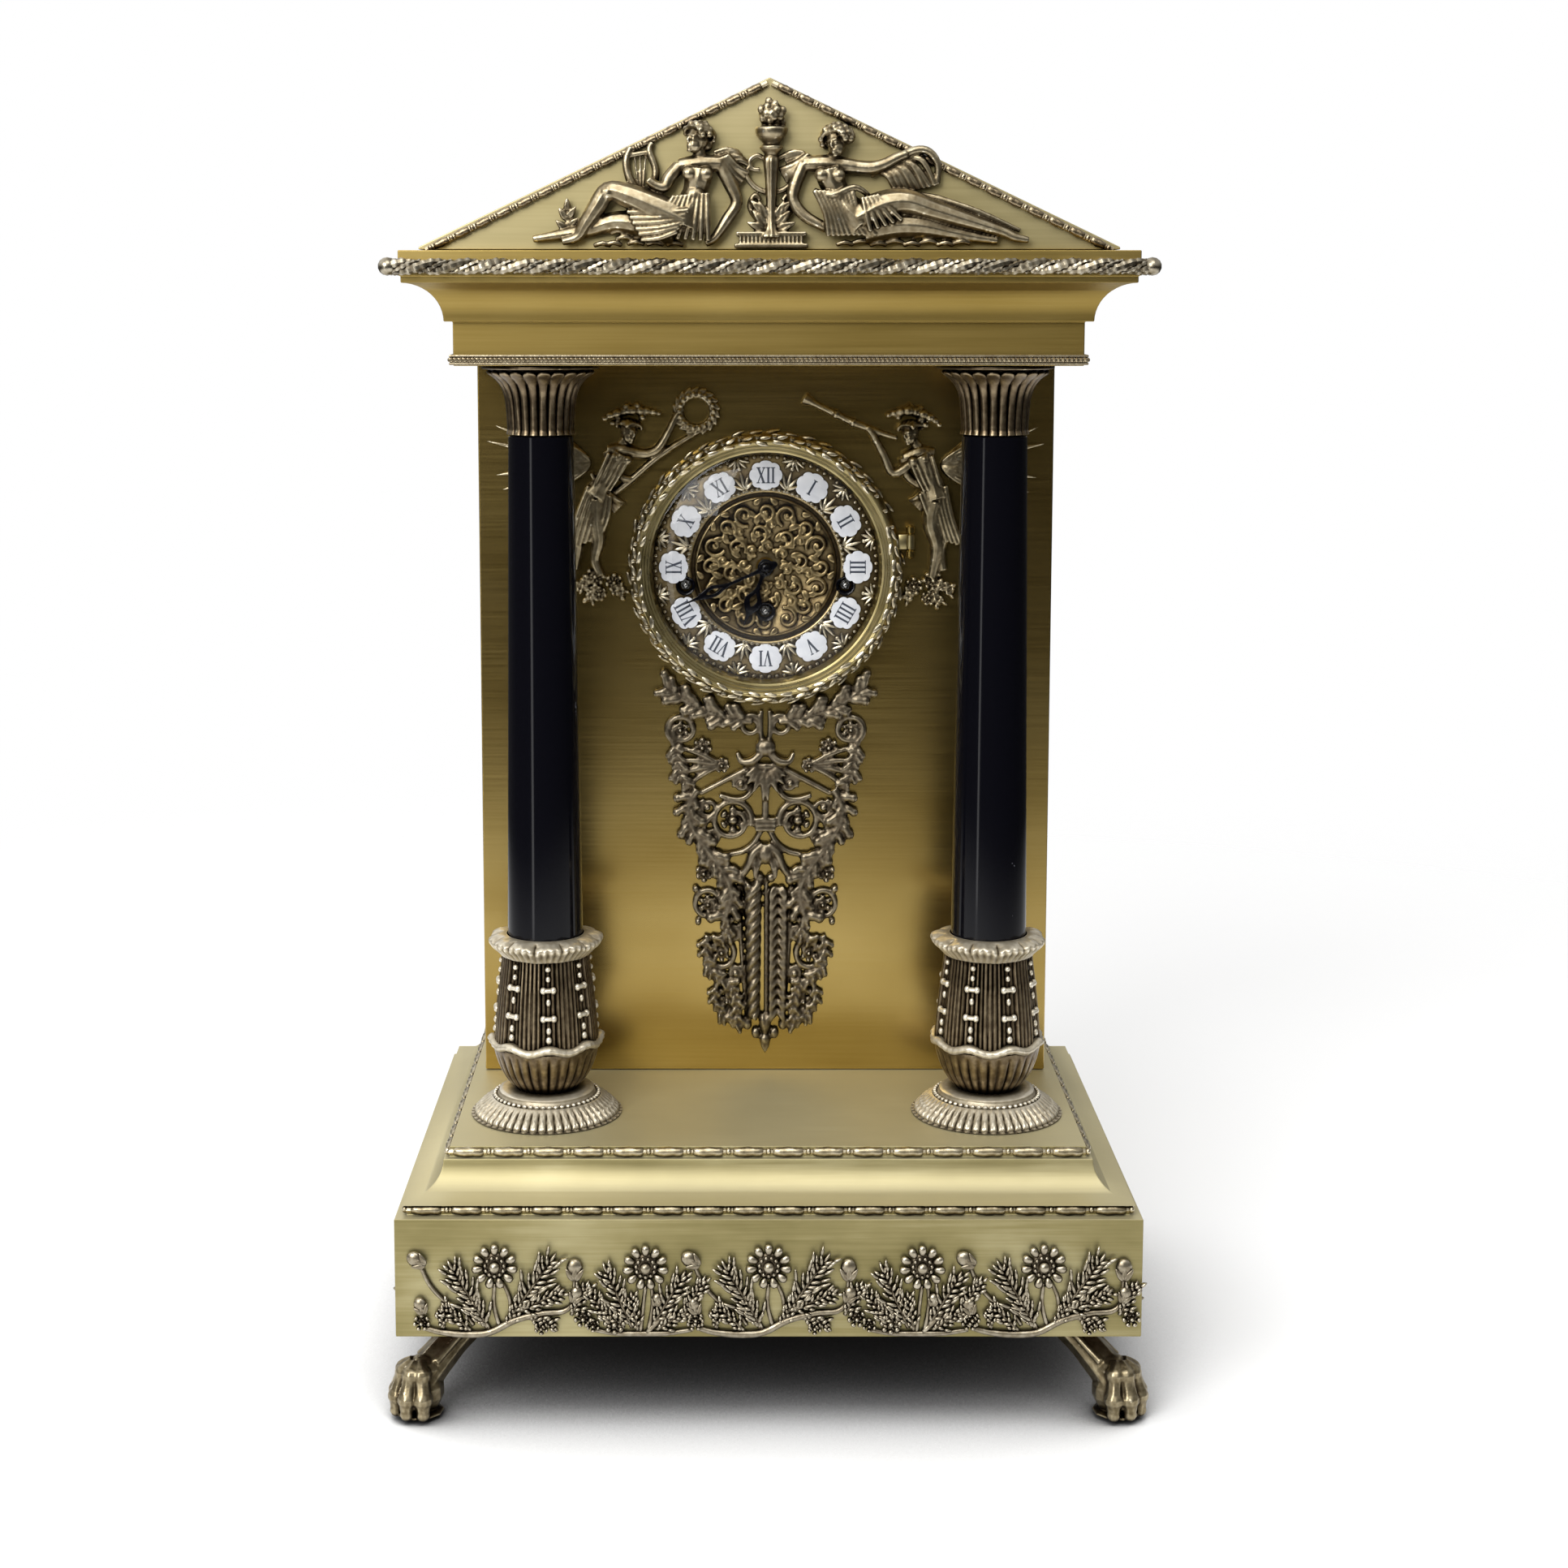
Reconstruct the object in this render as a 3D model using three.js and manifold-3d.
// Architectural mantel clock in brass: a small temple front with two dark columns, a gabled
// pediment, a hinged dial bezel and a three-train chiming movement behind the dial.
// Millimetres, +Z up, the front faces -Y, and the origin lies on the floor under the base's middle.
import * as THREE from "three";
import { mergeVertices } from "three/addons/utils/BufferGeometryUtils.js";
import Module from "manifold-3d";

const wasm = await Module();
wasm.setup();

// Driving dimensions: fits and sheet
const FIT = 0.3; // gap left between two pieces that seat on each other
const SHEET = 1.6; // wall of the sheet-brass boxes
const RUNNING = 0.35; // radial clearance of a turning arbor in its hole

// Driving dimensions: feet and base
const FOOT_HEIGHT = 33;
const FOOT_REACH = 7.5; // how far a paw's middle lies in from the base's corner, on both sides
const PAW_RADIUS = 12;
const LEG_REACH = 25; // from the paw's middle in to the middle of the pad under the base
const PAD_SIZE = 22;
const PAD_THICKNESS = 3;
const BASE_WIDTH = 275;
const BASE_DEPTH = 205;
const BOX_HEIGHT = 45;
const RIBBON_HEIGHT = 4.2; // both ribbon mouldings of the base
const RIBBON_DEPTH = 2.4;
const RIBBON_STEP = 2.2; // face of the middle ribbon behind the box's face
const COVE_INSET = 14.3; // how far the base's cove draws in
const COVE_RISE = 13;
const BOARD_THICKNESS = 6;

// Driving dimensions: case and rear door
const CASE_WIDTH = 228.6;
const CASE_DEPTH = 72;
const CASE_HEIGHT = 288.6;
const PORCH_DEPTH = 96; // from the front edge of the base's top to the case's front
const DOOR_MARGIN = 3; // frame left above and below the door
const HINGE_RADIUS = 1.8;
const HINGE_LENGTH = 26;
const KNOB_RADIUS = 5;

// Driving dimensions: columns
const COLUMN_SPACING = 170.8;
const COLUMN_SETBACK = 43.5; // axis behind the front edge of the base's top
const COLUMN_FOOT_RADIUS = 28;
const COLUMN_FOOT_HEIGHT = 6.5;
const DRUM_HEIGHT = 61.5;
const DRUM_RADIUS = 20;
const SHAFT_FOOT_RADIUS = 14.5;
const SHAFT_NECK_RADIUS = 12.3;
const SOCKET_DEPTH = 3; // how far the shaft sits in the drum
const CAPITAL_HEIGHT = 26;
const CAPITAL_RADIUS = 22.3;
const FLUTES = 16;
const ROD_RADIUS = 2.5;
const NUT_RADIUS = 5.5;
const NUT_HEIGHT = 5;

// Driving dimensions: entablature and pediment
const FRIEZE_WIDTH = 231.4;
const FRIEZE_FRONT_OVERHANG = 22; // frieze face in front of the column axis
const BEAD_HEIGHT = 4.2;
const BEAD_DEPTH = 1.8;
const FRIEZE_HEIGHT = 12;
const CORNICE_STEP = 3; // cornice face in front of the frieze, where the cove starts
const CORNICE_RISE = 14;
const CORNICE_REACH = 13.7;
const CORNICE_FILLET = 2.5;
const ROPE_STEP = 0.8; // wall behind the rope, out from the fillet below it
const ROPE_RADIUS = 3;
const PEDIMENT_INSET = 13; // tympanum and roof ends behind the rope's outer edge
const PEDIMENT_HEIGHT = 61;
const RAKE_WIDTH = 3.6;
const RAKE_DEPTH = 3;

// Driving dimensions: dial, bezel and hands
const DIAL_SHARE = 0.71622; // height of the dial's centre in the case, as a share of the case's height
const DIAL_RADIUS = 51.5;
const DIAL_THICKNESS = 1.2;
const CHAPTER_OUTER = 45.4;
const CHAPTER_INNER = 29.8;
const CHAPTER_THICKNESS = 1.2;
const PLAQUE_CIRCLE = 36.8;
const PLAQUE_RADIUS = 6;
const PLAQUE_THICKNESS = 0.9;
const BEZEL_RADIUS = 55.3;
const BEZEL_SIGHT = 46.3; // inner radius of the bezel's lip
const BEZEL_HEIGHT = 10.6;
const GLASS_RADIUS = 48;
const GLASS_DOME = 7;
const GLASS_THICKNESS = 1.6;
const HOUR_HAND_LENGTH = 25;
const MINUTE_HAND_LENGTH = 36;
const HAND_THICKNESS = 0.8;
const HOUR_SHOWN = 6;
const MINUTE_SHOWN = 41;

// Driving dimensions: movement
const PLATE_WIDTH = 116;
const PLATE_HEIGHT = 84;
const PLATE_THICKNESS = 1.6;
const PLATE_GAP = 34.4;
const MOTION_SPACE = 7; // between the dial's back and the front plate
const PILLAR_RADIUS = 3;
const SIDE_ARBOR_OFFSET = 32; // strike and chime winding arbors beside the dial centre
const SIDE_ARBOR_DROP = 7.5;
const GOING_ARBOR_DROP = 18;
const WINDING_RADIUS = 2;
const WINDING_SQUARE = 2.6;
const DRUM_WALL_RADIUS = 14.6; // mainspring barrel
const BARREL_LENGTH = 22;
const WHEEL_THICKNESS = 1.2;
const ARBOR_RADIUS = 1.2;
const PIVOT_RADIUS = 0.8;

// Tooth counts and modules: the wheel named first drives the pinion named second
const GOING_TRAIN = { wheel: 36, pinion: 6, module: 0.88 };
const INTERMEDIATE_TRAIN = { wheel: 32, pinion: 8, module: 0.75 };
const CENTRE_TRAIN = { wheel: 48, pinion: 6, module: 0.53 };
const THIRD_TRAIN = { wheel: 45, pinion: 6, module: 0.53 };
const CANNON_TRAIN = { wheel: 24, pinion: 8, module: 0.6875 };
const HOUR_TRAIN = { wheel: 24, pinion: 6, module: (0.6875 * 32) / 30 };
const ESCAPE_TEETH = 15;
const ESCAPE_RADIUS = 5.5;
const ESCAPE_THICKNESS = 0.8;

// Heights and depths that follow from the driving dimensions
const BOX_TOP = FOOT_HEIGHT + BOX_HEIGHT;
const COVE_FOOT = BOX_TOP + RIBBON_HEIGHT;
const BASE_TOP = COVE_FOOT + COVE_RISE + RIBBON_HEIGHT;
const TOP_INSET = RIBBON_STEP + COVE_INSET; // base top drawn in from the box
const TOP_FRONT = -BASE_DEPTH / 2 + TOP_INSET;
const CASE_FRONT = TOP_FRONT + PORCH_DEPTH;
const CASE_BACK = CASE_FRONT + CASE_DEPTH;
const CASE_FLOOR = BASE_TOP + FIT;
const CASE_TOP = CASE_FLOOR + CASE_HEIGHT;
const COLUMN_Y = TOP_FRONT + COLUMN_SETBACK;
const SHAFT_FOOT = BASE_TOP + COLUMN_FOOT_HEIGHT + DRUM_HEIGHT - SOCKET_DEPTH + 2 * FIT;
const SOFFIT = CASE_TOP + FIT; // underside of the entablature
const SHAFT_NECK = SOFFIT - CAPITAL_HEIGHT - 2 * FIT;
const FRIEZE_FRONT = COLUMN_Y - FRIEZE_FRONT_OVERHANG;
const FRIEZE_TOP = SOFFIT + BEAD_HEIGHT + FRIEZE_HEIGHT;
const COVE_TOP = FRIEZE_TOP + CORNICE_RISE;
const ROPE_FLOOR = COVE_TOP + CORNICE_FILLET;
const CORNICE_TOP = ROPE_FLOOR + 2 * (ROPE_RADIUS + FIT) + CORNICE_FILLET;
const COVE_LIP = CORNICE_STEP + CORNICE_REACH; // the cornice's reaches, out from the frieze
const ROPE_SEAT = COVE_LIP + ROPE_STEP;
const ROPE_EDGE = ROPE_SEAT + FIT + 2 * ROPE_RADIUS;
const PEDIMENT_FLOOR = CORNICE_TOP + FIT;
const PEDIMENT_HALF = FRIEZE_WIDTH / 2 + ROPE_EDGE - PEDIMENT_INSET;
const PEDIMENT_FRONT = FRIEZE_FRONT - ROPE_EDGE + PEDIMENT_INSET;
const DIAL_Z = CASE_FLOOR + DIAL_SHARE * CASE_HEIGHT;
const DIAL_BACK = SHEET + FIT + DIAL_THICKNESS; // behind the case's front face
const FRONT_PLATE = DIAL_BACK + MOTION_SPACE;
const BACK_PLATE = FRONT_PLATE + PLATE_THICKNESS + PLATE_GAP;

// Finishes
const satin = (colour, roughness, metalness) =>
  new THREE.MeshStandardMaterial({ color: colour, roughness, metalness });
const sheetBrass = satin(0xb59a4c, 0.35, 1);
const castBrass = satin(0xa08a5c, 0.45, 1);
const blackLacquer = satin(0x0b0b10, 0.15, 0);
const whiteEnamel = satin(0xe8ecf2, 0.25, 0);
const steel = satin(0x9a9ea4, 0.35, 1);
const movementBrass = satin(0xc4a860, 0.3, 1);
const ironGrey = satin(0x3a3b3d, 0.6, 0.8);
const board = satin(0x5c4630, 0.8, 0);
const clearGlass = satin(0xffffff, 0.05, 0);
clearGlass.transparent = true;
clearGlass.opacity = 0.2;

// Solids

// A closed geometry as a solid whose faces point out.
function solid(geometry) {
  const bare = geometry.clone();
  bare.deleteAttribute("normal");
  bare.deleteAttribute("uv");
  const merged = mergeVertices(bare, 1e-4);
  const index = merged.index.array;
  const kept = [];
  for (let i = 0; i < index.length; i += 3) {
    const [a, b, c] = index.slice(i, i + 3);
    if (a !== b && b !== c && c !== a) kept.push(a, b, c);
  }
  const make = (triVerts) =>
    new wasm.Manifold(
      new wasm.Mesh({ numProp: 3, vertProperties: merged.attributes.position.array, triVerts }),
    );
  const made = make(new Uint32Array(kept));
  return made.volume() > 0 ? made : make(new Uint32Array(kept.reverse()));
}

function geometryOf(body) {
  const { vertProperties, triVerts, numProp } = body.getMesh();
  const geometry = new THREE.BufferGeometry();
  const positions = new Float32Array((vertProperties.length / numProp) * 3);
  for (let i = 0; i < positions.length / 3; i++) {
    positions.set(vertProperties.subarray(i * numProp, i * numProp + 3), i * 3);
  }
  geometry.setAttribute("position", new THREE.BufferAttribute(positions, 3));
  geometry.setIndex(new THREE.BufferAttribute(new Uint32Array(triVerts), 1));
  geometry.computeVertexNormals();
  return geometry;
}

const join = (bodies) => bodies.reduce((whole, body) => whole.add(body));
const cut = (body, cutters) => cutters.reduce((whole, cutter) => whole.subtract(cutter), body);

// Adds a named piece to a group, at a place in that group.
function piece(group, name, body, material, place = [0, 0, 0]) {
  const mesh = new THREE.Mesh(geometryOf(body), material.clone());
  mesh.name = name;
  mesh.position.set(...place);
  group.add(mesh);
  return mesh;
}

function groupAt(parent, x, y, z) {
  const group = new THREE.Group();
  group.position.set(x, y, z);
  parent.add(group);
  return group;
}

// A box between two corners.
function box([x0, y0, z0], [x1, y1, z1]) {
  const geometry = new THREE.BoxGeometry(x1 - x0, y1 - y0, z1 - z0);
  return solid(geometry.translate((x0 + x1) / 2, (y0 + y1) / 2, (z0 + z1) / 2));
}

// A profile of [radius, height] points turned round the Z axis; a ring's profile closes on itself.
function turned(profile, sides) {
  const closed = profile[0][0] > 0 ? [...profile, profile[0]] : profile;
  const points = closed.map(([r, z]) => new THREE.Vector2(r, z));
  return solid(new THREE.LatheGeometry(points, sides).rotateX(Math.PI / 2));
}

// The same round the Y axis: [radius, depth] points, where depth runs to the back.
function turnedAcross(profile, sides) {
  const closed = profile[0][0] > 0 ? [...profile, profile[0]] : profile;
  const points = closed.map(([r, y]) => new THREE.Vector2(r, y));
  return solid(new THREE.LatheGeometry(points, sides));
}

// A round bar along Y between two depths, at [x, z].
function barAcross(radius, y0, y1, sides, [x, z] = [0, 0]) {
  const geometry = new THREE.CylinderGeometry(radius, radius, y1 - y0, sides);
  return solid(geometry.translate(x, (y0 + y1) / 2, z));
}

// A flat outline in the XZ plane, extruded from depth y0 back to y1.
function plate(shape, y0, y1) {
  const geometry = new THREE.ExtrudeGeometry(shape, { depth: y1 - y0, bevelEnabled: false });
  return solid(geometry.rotateX(Math.PI / 2).translate(0, y1, 0));
}

// A closed outline of [x, z] points, always run anticlockwise.
function outline(points) {
  const corners = points.map(([x, z]) => new THREE.Vector2(x, z));
  return new THREE.Shape(THREE.ShapeUtils.isClockWise(corners) ? corners.reverse() : corners);
}

// Points of a regular polygon round [x, z].
function ringPoints([x, z], radius, sides) {
  const points = [];
  for (let i = 0; i < sides; i++) {
    const angle = (2 * Math.PI * i) / sides;
    points.push([x + radius * Math.cos(angle), z + radius * Math.sin(angle)]);
  }
  return points;
}

// A hole in a flat outline, whose flats clear the radius.
function roundHole(shape, centre, radius, sides = 10) {
  const points = ringPoints(centre, radius / Math.cos(Math.PI / sides), sides).reverse();
  shape.holes.push(new THREE.Path(points.map(([x, z]) => new THREE.Vector2(x, z))));
}

// Rectangles stacked by [offset, height] and joined into a moulded block.
// The offset draws all four sides out, or all but a flat back.
function mouldedBlock(profile, { halfWidth, front, back, flatBack = false }) {
  const positions = [];
  const index = [];
  for (const [offset, z] of profile) {
    const x = halfWidth + offset;
    const y0 = front - offset;
    const y1 = flatBack ? back : back + offset;
    positions.push(-x, y0, z, x, y0, z, x, y1, z, -x, y1, z);
  }
  const corner = (ring, i) => ring * 4 + (i % 4);
  for (let ring = 0; ring + 1 < profile.length; ring++) {
    for (let i = 0; i < 4; i++) {
      index.push(corner(ring, i), corner(ring, i + 1), corner(ring + 1, i + 1));
      index.push(corner(ring, i), corner(ring + 1, i + 1), corner(ring + 1, i));
    }
  }
  const last = profile.length - 1;
  index.push(0, 2, 1, 0, 3, 2);
  index.push(corner(last, 0), corner(last, 1), corner(last, 2));
  index.push(corner(last, 0), corner(last, 2), corner(last, 3));
  const geometry = new THREE.BufferGeometry();
  geometry.setAttribute("position", new THREE.Float32BufferAttribute(positions, 3));
  geometry.setIndex(index);
  return solid(geometry);
}

// A moulding of one section carried round a rectangle with mitred corners: [outward, height] points.
// With an open back it runs round the front and both sides and its ends are cut square.
function mitredMoulding(section, { halfWidth, front, back, openBack = false }) {
  const stations = [
    [-1, 1],
    [-1, -1],
    [1, -1],
    [1, 1],
  ];
  const positions = [];
  for (const [sx, sy] of stations) {
    for (const [out, z] of section) {
      const y = sy < 0 ? front - out : openBack ? back : back + out;
      positions.push(sx * (halfWidth + out), y, z);
    }
  }
  const n = section.length;
  const index = [];
  const spans = openBack ? 3 : 4;
  for (let s = 0; s < spans; s++) {
    const next = (s + 1) % 4;
    for (let i = 0; i < n; i++) {
      const j = (i + 1) % n;
      index.push(s * n + i, s * n + j, next * n + j, s * n + i, next * n + j, next * n + i);
    }
  }
  if (openBack) {
    for (const cap of THREE.ShapeUtils.triangulateShape(outline(section).getPoints(), [])) {
      index.push(cap[2], cap[1], cap[0]);
      index.push(3 * n + cap[0], 3 * n + cap[1], 3 * n + cap[2]);
    }
  }
  const geometry = new THREE.BufferGeometry();
  geometry.setAttribute("position", new THREE.Float32BufferAttribute(positions, 3));
  geometry.setIndex(index);
  return solid(geometry);
}

// Points of a quarter ellipse that hollows a profile, from [x0, z0] to [x1, z1], upright at the start.
function coveArc([x0, z0], [x1, z1], steps) {
  const points = [];
  for (let i = 0; i <= steps; i++) {
    const angle = (Math.PI / 2) * (i / steps);
    points.push([x1 + (x0 - x1) * Math.cos(angle), z0 + (z1 - z0) * Math.sin(angle)]);
  }
  return points;
}

// Points of the same hollow, upright at the end instead.
function coveArcUp([x0, z0], [x1, z1], steps) {
  return coveArc([x1, z1], [x0, z0], steps).reverse();
}

// Relief work: forms that lie on a plane and rise from it towards -Y

// A limb with round ends, thicker or thinner at its second end, lifted off the plane.
function limb([x0, z0], [x1, z1], r0, r1, lift = 0) {
  const length = Math.hypot(x1 - x0, z1 - z0);
  const profile = [
    [0, -r0],
    [r0, -r0 / 4],
    [r1, length + r1 / 4],
    [0, length + r1],
  ].map(([r, along]) => new THREE.Vector2(r, along));
  const geometry = new THREE.LatheGeometry(profile, 5);
  const along = new THREE.Vector3(x1 - x0, 0, z1 - z0).normalize();
  const turn = new THREE.Quaternion().setFromUnitVectors(new THREE.Vector3(0, 1, 0), along);
  return solid(geometry.applyQuaternion(turn).translate(x0, -lift, z0));
}

// An egg-shaped form with its own radius along X, Y and Z.
function egg([x, y, z], [rx, ry, rz], across = 6, down = 3) {
  const geometry = new THREE.SphereGeometry(1, across, down);
  return solid(geometry.scale(rx, ry, rz).translate(x, y, z));
}

// Joins forms and takes away what lies behind the plane.
function relief(forms) {
  const reach = BASE_WIDTH;
  return join(forms).subtract(box([-reach, 0, -reach], [reach, reach, reach]));
}

// A pointed leaf from its foot to its tip, bellied out to a width on both sides.
function leaf([x0, z0], [x1, z1], width, thickness) {
  const [ax, az] = [x1 - x0, z1 - z0];
  const length = Math.hypot(ax, az);
  const [nx, nz] = [-az / length, ax / length];
  const at = (along, side) => [x0 + ax * along + nx * side * width, z0 + az * along + nz * side * width];
  const points = [at(0, 0), at(0.45, -0.5), at(1, 0), at(0.45, 0.5)];
  return plate(outline(points), -thickness, 0);
}

// A flat band of even width along a hand-drawn line.
function band(line, width, thickness) {
  const curve = new THREE.CatmullRomCurve3(line.map(([x, z]) => new THREE.Vector3(x, 0, z)));
  const steps = line.length - 1;
  const left = [];
  const right = [];
  for (let i = 0; i <= steps; i++) {
    const point = curve.getPoint(i / steps);
    const along = curve.getTangent(i / steps);
    left.push([point.x - (along.z * width) / 2, point.z + (along.x * width) / 2]);
    right.unshift([point.x + (along.z * width) / 2, point.z - (along.x * width) / 2]);
  }
  return plate(outline([...right, ...left].reverse()), -thickness, 0);
}

const disc = (centre, radius, sides, thickness) =>
  plate(outline(ringPoints(centre, radius, sides)), -thickness, 0);

const mirrored = (line) => line.map(([x, z]) => [-x, z]);

const clock = new THREE.Group();

// Feet: a lion's paw, a leg that leans in and a pad screwed under the base

function pawFoot() {
  const paw = egg([0, 0, PAW_RADIUS * 0.8], [PAW_RADIUS, PAW_RADIUS, PAW_RADIUS * 0.95], 8, 4);
  const toes = [-57, -19, 19, 57].map((degrees) => {
    const angle = THREE.MathUtils.degToRad(degrees);
    const reach = PAW_RADIUS * 0.72;
    const place = [reach * Math.cos(angle), reach * Math.sin(angle), PAW_RADIUS * 0.5];
    return egg(place, [PAW_RADIUS * 0.42, PAW_RADIUS * 0.36, PAW_RADIUS * 0.52], 5, 3);
  });
  const knee = [-LEG_REACH, FOOT_HEIGHT - 2 * PAD_THICKNESS];
  const leg = limb([0, PAW_RADIUS], knee, PAW_RADIUS * 0.62, PAW_RADIUS * 0.45);
  const padTop = FOOT_HEIGHT - FIT;
  const pad = box(
    [-LEG_REACH - PAD_SIZE / 2, -PAD_SIZE / 2, padTop - PAD_THICKNESS],
    [-LEG_REACH + PAD_SIZE / 2, PAD_SIZE / 2, padTop],
  );
  const reach = LEG_REACH + PAD_SIZE + PAW_RADIUS;
  const floor = box([-reach, -reach, -reach], [reach, reach, 0]);
  const ceiling = box([-reach, -reach, padTop], [reach, reach, padTop + reach]);
  return cut(join([paw, ...toes, leg, pad]), [floor, ceiling]);
}

for (const [end, ySign] of [["front", -1], ["back", 1]]) {
  for (const [side, xSign] of [["left", -1], ["right", 1]]) {
    const x = xSign * (BASE_WIDTH / 2 - FOOT_REACH);
    const y = ySign * (BASE_DEPTH / 2 - FOOT_REACH);
    const foot = piece(clock, `foot_${end}_${side}`, pawFoot(), castBrass, [x, y, 0]);
    foot.rotation.z = Math.atan2(ySign, xSign);
  }
}

// Base: a sheet-brass box with a cove above it and two ribbon mouldings

const baseFootprint = { halfWidth: BASE_WIDTH / 2, front: -BASE_DEPTH / 2, back: BASE_DEPTH / 2 };
const RIBBON_WALL = RIBBON_STEP + RIBBON_DEPTH; // wall behind the middle ribbon, in from the box
const TOP_WALL = TOP_INSET + RIBBON_DEPTH; // wall behind the top ribbon
const COVE_HEAD = COVE_FOOT + COVE_RISE;

function columnHoles(z0, z1) {
  return [-1, 1].map((side) => {
    const geometry = new THREE.CylinderGeometry(ROD_RADIUS + FIT, ROD_RADIUS + FIT, z1 - z0, 10);
    const place = [(side * COLUMN_SPACING) / 2, COLUMN_Y, (z0 + z1) / 2];
    return solid(geometry.rotateX(Math.PI / 2).translate(...place));
  });
}

function basePlinth() {
  const cove = coveArcUp([-RIBBON_STEP, COVE_FOOT], [-TOP_INSET, COVE_HEAD], 5);
  const outer = [
    [0, FOOT_HEIGHT],
    [0, BOX_TOP],
    [-RIBBON_WALL, BOX_TOP],
    [-RIBBON_WALL, COVE_FOOT],
    ...cove,
    [-TOP_WALL, COVE_HEAD],
    [-TOP_WALL, BASE_TOP],
  ];
  const innerCove = cove.map(([x, z]) => [Math.min(x, -RIBBON_WALL) - SHEET, z - SHEET]);
  const inner = [
    [-SHEET, FOOT_HEIGHT - SHEET],
    [-SHEET, BOX_TOP - SHEET],
    [-RIBBON_WALL - SHEET, BOX_TOP - SHEET],
    ...innerCove,
    [-TOP_WALL - SHEET, COVE_HEAD - SHEET],
    [-TOP_WALL - SHEET, BASE_TOP - SHEET],
  ];
  const shell = mouldedBlock(outer, baseFootprint).subtract(mouldedBlock(inner, baseFootprint));
  return cut(shell, columnHoles(BASE_TOP - 2 * SHEET, BASE_TOP + SHEET));
}

function ribbon(face, wall, z0) {
  const section = [
    [-wall + FIT, z0 + FIT],
    [-face - RIBBON_DEPTH / 2, z0 + FIT],
    [-face, z0 + RIBBON_HEIGHT / 2],
    [-face - RIBBON_DEPTH / 2, z0 + RIBBON_HEIGHT - FIT],
    [-wall + FIT, z0 + RIBBON_HEIGHT - FIT],
  ];
  return mitredMoulding(section, baseFootprint);
}

piece(clock, "base_plinth", basePlinth(), sheetBrass);
piece(clock, "base_middle_ribbon", ribbon(RIBBON_STEP, RIBBON_WALL, BOX_TOP), castBrass);
piece(clock, "base_top_ribbon", ribbon(TOP_INSET, TOP_WALL, COVE_HEAD), castBrass);

const boardInset = SHEET + FIT;
const bottomBoard = box(
  [-BASE_WIDTH / 2 + boardInset, -BASE_DEPTH / 2 + boardInset, FOOT_HEIGHT],
  [BASE_WIDTH / 2 - boardInset, BASE_DEPTH / 2 - boardInset, FOOT_HEIGHT + BOARD_THICKNESS],
);
piece(clock, "bottom_board", bottomBoard, board);

// Floral mounts of the base: sprays of a daisy and two fronds, on a wavy stem

const SPRAY_HEIGHT = 34; // from the stem's foot to the flower's top
const SPRAY_PERIOD = 98.2;
const SPRAY_OFFSET = 54.5; // the smaller spray after each large one
const PETALS = 6;

function daisy([x, z], radius, thickness) {
  const points = [];
  for (let i = 0; i < PETALS * 2; i++) {
    const angle = (Math.PI * i) / PETALS;
    const reach = i % 2 ? radius * 0.78 : radius;
    points.push([x + reach * Math.cos(angle), z + reach * Math.sin(angle)]);
  }
  return plate(outline(points), -thickness, 0);
}

// Large spray: its daisy stands at x, with a frond on each side.
function largeSpray(x) {
  const bloom = SPRAY_HEIGHT - 7.7;
  return [
    daisy([x, bloom], 7.7, 3.6),
    leaf([x - 2, 2], [x - 24, 24], 11, 2.2),
    leaf([x + 1, 2], [x + 24, 27], 11, 2.2),
    leaf([x, 1], [x, bloom], 6, 2.2),
  ];
}

// Small spray: a daisy with a short leaf beside it and a bud below.
function smallSpray(x) {
  return [
    daisy([x - 2, 25], 7.2, 3.6),
    disc([x - 5, 10], 5.5, 7, 2.2),
    leaf([x + 2, 4], [x + 15, 25], 9, 2.2),
    leaf([x - 1, 4], [x - 2, 25], 6, 2.2),
  ];
}

// The stem rises and dips once in each period.
function wavyStem(x0, x1) {
  const line = [];
  const steps = Math.round(((x1 - x0) / SPRAY_PERIOD) * 4);
  for (let i = 0; i <= steps; i++) {
    const x = x0 + ((x1 - x0) * i) / steps;
    line.push([x, 4.2 + 2 * Math.sin((2 * Math.PI * x) / SPRAY_PERIOD)]);
  }
  return band(line, 3, 2.2);
}

function floralMount(largeAt, smallAt, end) {
  const forms = [wavyStem(-end, end), ...largeAt.flatMap(largeSpray), ...smallAt.flatMap(smallSpray)];
  return join(forms);
}

const frontMount = floralMount(
  [-SPRAY_PERIOD, 0, SPRAY_PERIOD],
  [SPRAY_OFFSET - SPRAY_PERIOD, SPRAY_OFFSET],
  SPRAY_PERIOD + 26,
);
piece(clock, "base_front_mount", frontMount, castBrass, [0, -BASE_DEPTH / 2 - FIT, FOOT_HEIGHT]);

const sideMount = floralMount([-SPRAY_OFFSET, SPRAY_PERIOD - SPRAY_OFFSET], [0], SPRAY_PERIOD - 20);
for (const [side, xSign] of [["left", -1], ["right", 1]]) {
  const place = [xSign * (BASE_WIDTH / 2 + FIT), 0, FOOT_HEIGHT];
  const mount = piece(clock, `base_${side}_mount`, sideMount, castBrass, place);
  mount.rotation.z = (xSign * Math.PI) / 2;
}

// Case: a folded sheet-brass box, open at the back, with the dial's hole in its front

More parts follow.
